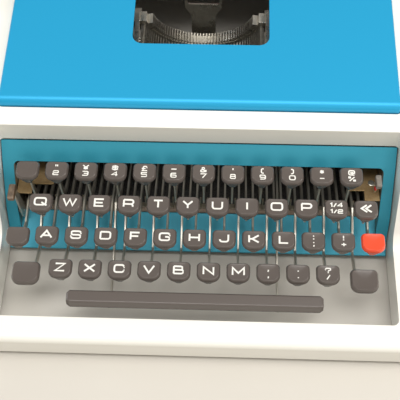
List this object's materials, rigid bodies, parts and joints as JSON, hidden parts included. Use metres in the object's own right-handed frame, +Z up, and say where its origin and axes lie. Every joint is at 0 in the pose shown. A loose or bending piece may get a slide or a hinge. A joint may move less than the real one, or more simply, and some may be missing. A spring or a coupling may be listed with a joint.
{
  "type": "typewriter",
  "caption": "Portable typewriter: ring body, hinged ribbon cover, four sloping rows of lever keys, type basket that shifts, and a sliding carriage with platen, bail and return lever.",
  "frame": {"origin": "centre of the footprint, on the surface that the four feet stand on", "axes": "+X to the typist's right, along the platen; +Y away from the typist, from the space bar to the carriage; +Z up"},
  "size_m": [0.334, 0.345, 0.1099],
  "materials": {
    "body_white": "moulded, satin gloss",
    "surround_teal": "gloss paint",
    "cover_blue": "gloss paint",
    "lever_steel": "plated, satin",
    "spool_steel": "pressed sheet, dull",
    "basket_steel": "machined, oiled",
    "bail_chrome": "polished",
    "platen_rubber": "fine ground, matt",
    "key_grey": "moulded, satin",
    "key_red": "moulded, satin"
  },
  "bodies": {
    "machine": {"body_shell": "body_white", "chassis": "surround_teal"},
    "ribbon_selector": {"ribbon_selector": "lever_steel"},
    "tab_set_lever": {"tab_set_lever": "lever_steel"},
    "spool_left": {"spool_left": "spool_steel"},
    "spool_right": {"spool_right": "spool_steel"},
    "type_basket": {"type_basket": "basket_steel"},
    "carriage": {"carriage": "cover_blue"},
    "platen": {"platen": "platen_rubber"},
    "paper_bail": {"paper_bail": "bail_chrome"},
    "return_lever": {"return_lever": "bail_chrome"},
    "ribbon_cover": {"ribbon_cover": "cover_blue"},
    "key_margin": {"key_margin": "key_grey"},
    "key_2": {"key_2": "key_grey"},
    "key_3": {"key_3": "key_grey"},
    "key_4": {"key_4": "key_grey"},
    "key_5": {"key_5": "key_grey"},
    "key_6": {"key_6": "key_grey"},
    "key_7": {"key_7": "key_grey"},
    "key_8": {"key_8": "key_grey"},
    "key_9": {"key_9": "key_grey"},
    "key_0": {"key_0": "key_grey"},
    "key_hyphen": {"key_hyphen": "key_grey"},
    "key_at": {"key_at": "key_grey"},
    "key_q": {"key_q": "key_grey"},
    "key_w": {"key_w": "key_grey"},
    "key_e": {"key_e": "key_grey"},
    "key_r": {"key_r": "key_grey"},
    "key_t": {"key_t": "key_grey"},
    "key_y": {"key_y": "key_grey"},
    "key_u": {"key_u": "key_grey"},
    "key_i": {"key_i": "key_grey"},
    "key_o": {"key_o": "key_grey"},
    "key_p": {"key_p": "key_grey"},
    "key_half": {"key_half": "key_grey"},
    "key_backspace": {"key_backspace": "key_grey"},
    "key_a": {"key_a": "key_grey"},
    "key_s": {"key_s": "key_grey"},
    "key_d": {"key_d": "key_grey"},
    "key_f": {"key_f": "key_grey"},
    "key_g": {"key_g": "key_grey"},
    "key_h": {"key_h": "key_grey"},
    "key_j": {"key_j": "key_grey"},
    "key_k": {"key_k": "key_grey"},
    "key_l": {"key_l": "key_grey"},
    "key_semicolon": {"key_semicolon": "key_grey"},
    "key_plus": {"key_plus": "key_grey"},
    "key_tab": {"key_tab": "key_red"},
    "key_z": {"key_z": "key_grey"},
    "key_x": {"key_x": "key_grey"},
    "key_c": {"key_c": "key_grey"},
    "key_v": {"key_v": "key_grey"},
    "key_b": {"key_b": "key_grey"},
    "key_n": {"key_n": "key_grey"},
    "key_m": {"key_m": "key_grey"},
    "key_comma": {"key_comma": "key_grey"},
    "key_stop": {"key_stop": "key_grey"},
    "key_slash": {"key_slash": "key_grey"},
    "shift_bail": {"shift_bail": "key_grey"},
    "space_bar": {"space_bar": "key_grey"}
  },
  "joints": [
    {"name": "basket_shift", "type": "slide", "parent": "machine", "child": "type_basket", "axis": [0, 0, 1], "range_m": [-0.006, 0], "stiffness_N_per_m": 400, "springref_m": 0.02},
    {"name": "bar_space_press", "type": "hinge", "parent": "machine", "child": "space_bar", "pos_m": [0, 0.084, 0.011], "axis": [1, 0, 0], "range_deg": [0, 2.25], "stiffness_Nm_per_rad": 0.5, "springref_deg": -20.05},
    {"name": "capital_shift_press", "type": "hinge", "parent": "machine", "child": "shift_bail", "pos_m": [0, 0.084, 0.011], "axis": [1, 0, 0], "range_deg": [0, 3.18], "stiffness_Nm_per_rad": 0.5, "springref_deg": -17.19},
    {"name": "carriage_bail_lift", "type": "hinge", "parent": "carriage", "child": "paper_bail", "pos_m": [0, 0.112, 0.092], "axis": [-1, 0, 0], "range_deg": [0, 70]},
    {"name": "carriage_platen_turn", "type": "hinge", "parent": "carriage", "child": "platen", "pos_m": [0, 0.1, 0.086], "axis": [-1, 0, 0], "continuous": true},
    {"name": "carriage_return_lever_swing", "type": "hinge", "parent": "carriage", "child": "return_lever", "pos_m": [-0.137, 0.092, 0.1], "axis": [0, 0, 1], "range_deg": [0, 25], "stiffness_Nm_per_rad": 0.05, "springref_deg": -17.19},
    {"name": "carriage_slide", "type": "slide", "parent": "machine", "child": "carriage", "axis": [-1, 0, 0], "range_m": [-0.11, 0.11]},
    {"name": "colour_selector_tilt", "type": "hinge", "parent": "machine", "child": "ribbon_selector", "pos_m": [0.1189, -0.062, 0.024], "axis": [1, 0, 0], "range_deg": [0, 16]},
    {"name": "cover_lift", "type": "hinge", "parent": "machine", "child": "ribbon_cover", "pos_m": [0, 0.06, 0.088], "axis": [-1, 0, 0], "range_deg": [0, 70]},
    {"name": "ribbon_spool_left_turn", "type": "hinge", "parent": "machine", "child": "spool_left", "pos_m": [-0.095, 0.005, 0.062], "axis": [0, 0, 1], "continuous": true},
    {"name": "ribbon_spool_right_turn", "type": "hinge", "parent": "machine", "child": "spool_right", "pos_m": [0.095, 0.005, 0.062], "axis": [0, 0, 1], "continuous": true},
    {"name": "tab_set_tilt", "type": "hinge", "parent": "machine", "child": "tab_set_lever", "pos_m": [-0.1199, -0.078, 0.024], "axis": [1, 0, 0], "range_deg": [-8, 8], "stiffness_Nm_per_rad": 0.08},
    {"name": "key_margin_press", "type": "hinge", "parent": "machine", "child": "key_margin", "pos_m": [0, 0.084, 0.011], "axis": [1, 0, 0], "range_deg": [0, 4.43], "stiffness_Nm_per_rad": 0.3, "springref_deg": -20.05},
    {"name": "key_2_press", "type": "hinge", "parent": "machine", "child": "key_2", "pos_m": [0, 0.084, 0.011], "axis": [1, 0, 0], "range_deg": [0, 4.43], "stiffness_Nm_per_rad": 0.3, "springref_deg": -20.05},
    {"name": "key_3_press", "type": "hinge", "parent": "machine", "child": "key_3", "pos_m": [0, 0.084, 0.011], "axis": [1, 0, 0], "range_deg": [0, 4.43], "stiffness_Nm_per_rad": 0.3, "springref_deg": -20.05},
    {"name": "key_4_press", "type": "hinge", "parent": "machine", "child": "key_4", "pos_m": [0, 0.084, 0.011], "axis": [1, 0, 0], "range_deg": [0, 4.43], "stiffness_Nm_per_rad": 0.3, "springref_deg": -20.05},
    {"name": "key_5_press", "type": "hinge", "parent": "machine", "child": "key_5", "pos_m": [0, 0.084, 0.011], "axis": [1, 0, 0], "range_deg": [0, 4.43], "stiffness_Nm_per_rad": 0.3, "springref_deg": -20.05},
    {"name": "key_6_press", "type": "hinge", "parent": "machine", "child": "key_6", "pos_m": [0, 0.084, 0.011], "axis": [1, 0, 0], "range_deg": [0, 4.43], "stiffness_Nm_per_rad": 0.3, "springref_deg": -20.05},
    {"name": "key_7_press", "type": "hinge", "parent": "machine", "child": "key_7", "pos_m": [0, 0.084, 0.011], "axis": [1, 0, 0], "range_deg": [0, 4.43], "stiffness_Nm_per_rad": 0.3, "springref_deg": -20.05},
    {"name": "key_8_press", "type": "hinge", "parent": "machine", "child": "key_8", "pos_m": [0, 0.084, 0.011], "axis": [1, 0, 0], "range_deg": [0, 4.43], "stiffness_Nm_per_rad": 0.3, "springref_deg": -20.05},
    {"name": "key_9_press", "type": "hinge", "parent": "machine", "child": "key_9", "pos_m": [0, 0.084, 0.011], "axis": [1, 0, 0], "range_deg": [0, 4.43], "stiffness_Nm_per_rad": 0.3, "springref_deg": -20.05},
    {"name": "key_0_press", "type": "hinge", "parent": "machine", "child": "key_0", "pos_m": [0, 0.084, 0.011], "axis": [1, 0, 0], "range_deg": [0, 4.43], "stiffness_Nm_per_rad": 0.3, "springref_deg": -20.05},
    {"name": "key_hyphen_press", "type": "hinge", "parent": "machine", "child": "key_hyphen", "pos_m": [0, 0.084, 0.011], "axis": [1, 0, 0], "range_deg": [0, 4.43], "stiffness_Nm_per_rad": 0.3, "springref_deg": -20.05},
    {"name": "key_at_press", "type": "hinge", "parent": "machine", "child": "key_at", "pos_m": [0, 0.084, 0.011], "axis": [1, 0, 0], "range_deg": [0, 4.43], "stiffness_Nm_per_rad": 0.3, "springref_deg": -20.05},
    {"name": "key_q_press", "type": "hinge", "parent": "machine", "child": "key_q", "pos_m": [0, 0.084, 0.011], "axis": [1, 0, 0], "range_deg": [0, 3.94], "stiffness_Nm_per_rad": 0.3, "springref_deg": -20.05},
    {"name": "key_w_press", "type": "hinge", "parent": "machine", "child": "key_w", "pos_m": [0, 0.084, 0.011], "axis": [1, 0, 0], "range_deg": [0, 3.94], "stiffness_Nm_per_rad": 0.3, "springref_deg": -20.05},
    {"name": "key_e_press", "type": "hinge", "parent": "machine", "child": "key_e", "pos_m": [0, 0.084, 0.011], "axis": [1, 0, 0], "range_deg": [0, 3.94], "stiffness_Nm_per_rad": 0.3, "springref_deg": -20.05},
    {"name": "key_r_press", "type": "hinge", "parent": "machine", "child": "key_r", "pos_m": [0, 0.084, 0.011], "axis": [1, 0, 0], "range_deg": [0, 3.94], "stiffness_Nm_per_rad": 0.3, "springref_deg": -20.05},
    {"name": "key_t_press", "type": "hinge", "parent": "machine", "child": "key_t", "pos_m": [0, 0.084, 0.011], "axis": [1, 0, 0], "range_deg": [0, 3.94], "stiffness_Nm_per_rad": 0.3, "springref_deg": -20.05},
    {"name": "key_y_press", "type": "hinge", "parent": "machine", "child": "key_y", "pos_m": [0, 0.084, 0.011], "axis": [1, 0, 0], "range_deg": [0, 3.94], "stiffness_Nm_per_rad": 0.3, "springref_deg": -20.05},
    {"name": "key_u_press", "type": "hinge", "parent": "machine", "child": "key_u", "pos_m": [0, 0.084, 0.011], "axis": [1, 0, 0], "range_deg": [0, 3.94], "stiffness_Nm_per_rad": 0.3, "springref_deg": -20.05},
    {"name": "key_i_press", "type": "hinge", "parent": "machine", "child": "key_i", "pos_m": [0, 0.084, 0.011], "axis": [1, 0, 0], "range_deg": [0, 3.94], "stiffness_Nm_per_rad": 0.3, "springref_deg": -20.05},
    {"name": "key_o_press", "type": "hinge", "parent": "machine", "child": "key_o", "pos_m": [0, 0.084, 0.011], "axis": [1, 0, 0], "range_deg": [0, 3.94], "stiffness_Nm_per_rad": 0.3, "springref_deg": -20.05},
    {"name": "key_p_press", "type": "hinge", "parent": "machine", "child": "key_p", "pos_m": [0, 0.084, 0.011], "axis": [1, 0, 0], "range_deg": [0, 3.94], "stiffness_Nm_per_rad": 0.3, "springref_deg": -20.05},
    {"name": "key_half_press", "type": "hinge", "parent": "machine", "child": "key_half", "pos_m": [0, 0.084, 0.011], "axis": [1, 0, 0], "range_deg": [0, 3.94], "stiffness_Nm_per_rad": 0.3, "springref_deg": -20.05},
    {"name": "key_backspace_press", "type": "hinge", "parent": "machine", "child": "key_backspace", "pos_m": [0, 0.084, 0.011], "axis": [1, 0, 0], "range_deg": [0, 3.94], "stiffness_Nm_per_rad": 0.3, "springref_deg": -20.05},
    {"name": "key_a_press", "type": "hinge", "parent": "machine", "child": "key_a", "pos_m": [0, 0.084, 0.011], "axis": [1, 0, 0], "range_deg": [0, 3.56], "stiffness_Nm_per_rad": 0.3, "springref_deg": -20.05},
    {"name": "key_s_press", "type": "hinge", "parent": "machine", "child": "key_s", "pos_m": [0, 0.084, 0.011], "axis": [1, 0, 0], "range_deg": [0, 3.56], "stiffness_Nm_per_rad": 0.3, "springref_deg": -20.05},
    {"name": "key_d_press", "type": "hinge", "parent": "machine", "child": "key_d", "pos_m": [0, 0.084, 0.011], "axis": [1, 0, 0], "range_deg": [0, 3.56], "stiffness_Nm_per_rad": 0.3, "springref_deg": -20.05},
    {"name": "key_f_press", "type": "hinge", "parent": "machine", "child": "key_f", "pos_m": [0, 0.084, 0.011], "axis": [1, 0, 0], "range_deg": [0, 3.56], "stiffness_Nm_per_rad": 0.3, "springref_deg": -20.05},
    {"name": "key_g_press", "type": "hinge", "parent": "machine", "child": "key_g", "pos_m": [0, 0.084, 0.011], "axis": [1, 0, 0], "range_deg": [0, 3.56], "stiffness_Nm_per_rad": 0.3, "springref_deg": -20.05},
    {"name": "key_h_press", "type": "hinge", "parent": "machine", "child": "key_h", "pos_m": [0, 0.084, 0.011], "axis": [1, 0, 0], "range_deg": [0, 3.56], "stiffness_Nm_per_rad": 0.3, "springref_deg": -20.05},
    {"name": "key_j_press", "type": "hinge", "parent": "machine", "child": "key_j", "pos_m": [0, 0.084, 0.011], "axis": [1, 0, 0], "range_deg": [0, 3.56], "stiffness_Nm_per_rad": 0.3, "springref_deg": -20.05},
    {"name": "key_k_press", "type": "hinge", "parent": "machine", "child": "key_k", "pos_m": [0, 0.084, 0.011], "axis": [1, 0, 0], "range_deg": [0, 3.56], "stiffness_Nm_per_rad": 0.3, "springref_deg": -20.05},
    {"name": "key_l_press", "type": "hinge", "parent": "machine", "child": "key_l", "pos_m": [0, 0.084, 0.011], "axis": [1, 0, 0], "range_deg": [0, 3.56], "stiffness_Nm_per_rad": 0.3, "springref_deg": -20.05},
    {"name": "key_semicolon_press", "type": "hinge", "parent": "machine", "child": "key_semicolon", "pos_m": [0, 0.084, 0.011], "axis": [1, 0, 0], "range_deg": [0, 3.56], "stiffness_Nm_per_rad": 0.3, "springref_deg": -20.05},
    {"name": "key_plus_press", "type": "hinge", "parent": "machine", "child": "key_plus", "pos_m": [0, 0.084, 0.011], "axis": [1, 0, 0], "range_deg": [0, 3.56], "stiffness_Nm_per_rad": 0.3, "springref_deg": -20.05},
    {"name": "key_tab_press", "type": "hinge", "parent": "machine", "child": "key_tab", "pos_m": [0, 0.084, 0.011], "axis": [1, 0, 0], "range_deg": [0, 3.56], "stiffness_Nm_per_rad": 0.3, "springref_deg": -20.05},
    {"name": "key_z_press", "type": "hinge", "parent": "machine", "child": "key_z", "pos_m": [0, 0.084, 0.011], "axis": [1, 0, 0], "range_deg": [0, 3.24], "stiffness_Nm_per_rad": 0.3, "springref_deg": -20.05},
    {"name": "key_x_press", "type": "hinge", "parent": "machine", "child": "key_x", "pos_m": [0, 0.084, 0.011], "axis": [1, 0, 0], "range_deg": [0, 3.24], "stiffness_Nm_per_rad": 0.3, "springref_deg": -20.05},
    {"name": "key_c_press", "type": "hinge", "parent": "machine", "child": "key_c", "pos_m": [0, 0.084, 0.011], "axis": [1, 0, 0], "range_deg": [0, 3.24], "stiffness_Nm_per_rad": 0.3, "springref_deg": -20.05},
    {"name": "key_v_press", "type": "hinge", "parent": "machine", "child": "key_v", "pos_m": [0, 0.084, 0.011], "axis": [1, 0, 0], "range_deg": [0, 3.24], "stiffness_Nm_per_rad": 0.3, "springref_deg": -20.05},
    {"name": "key_b_press", "type": "hinge", "parent": "machine", "child": "key_b", "pos_m": [0, 0.084, 0.011], "axis": [1, 0, 0], "range_deg": [0, 3.24], "stiffness_Nm_per_rad": 0.3, "springref_deg": -20.05},
    {"name": "key_n_press", "type": "hinge", "parent": "machine", "child": "key_n", "pos_m": [0, 0.084, 0.011], "axis": [1, 0, 0], "range_deg": [0, 3.24], "stiffness_Nm_per_rad": 0.3, "springref_deg": -20.05},
    {"name": "key_m_press", "type": "hinge", "parent": "machine", "child": "key_m", "pos_m": [0, 0.084, 0.011], "axis": [1, 0, 0], "range_deg": [0, 3.24], "stiffness_Nm_per_rad": 0.3, "springref_deg": -20.05},
    {"name": "key_comma_press", "type": "hinge", "parent": "machine", "child": "key_comma", "pos_m": [0, 0.084, 0.011], "axis": [1, 0, 0], "range_deg": [0, 3.24], "stiffness_Nm_per_rad": 0.3, "springref_deg": -20.05},
    {"name": "key_stop_press", "type": "hinge", "parent": "machine", "child": "key_stop", "pos_m": [0, 0.084, 0.011], "axis": [1, 0, 0], "range_deg": [0, 3.24], "stiffness_Nm_per_rad": 0.3, "springref_deg": -20.05},
    {"name": "key_slash_press", "type": "hinge", "parent": "machine", "child": "key_slash", "pos_m": [0, 0.084, 0.011], "axis": [1, 0, 0], "range_deg": [0, 3.24], "stiffness_Nm_per_rad": 0.3, "springref_deg": -20.05}
  ],
  "couplings": [
    {"joint": "basket_shift", "follows": "capital_shift_press", "m_per_rad": -0.108},
    {"joint": "ribbon_spool_right_turn", "follows": "ribbon_spool_left_turn", "ratio": 1}
  ]
}
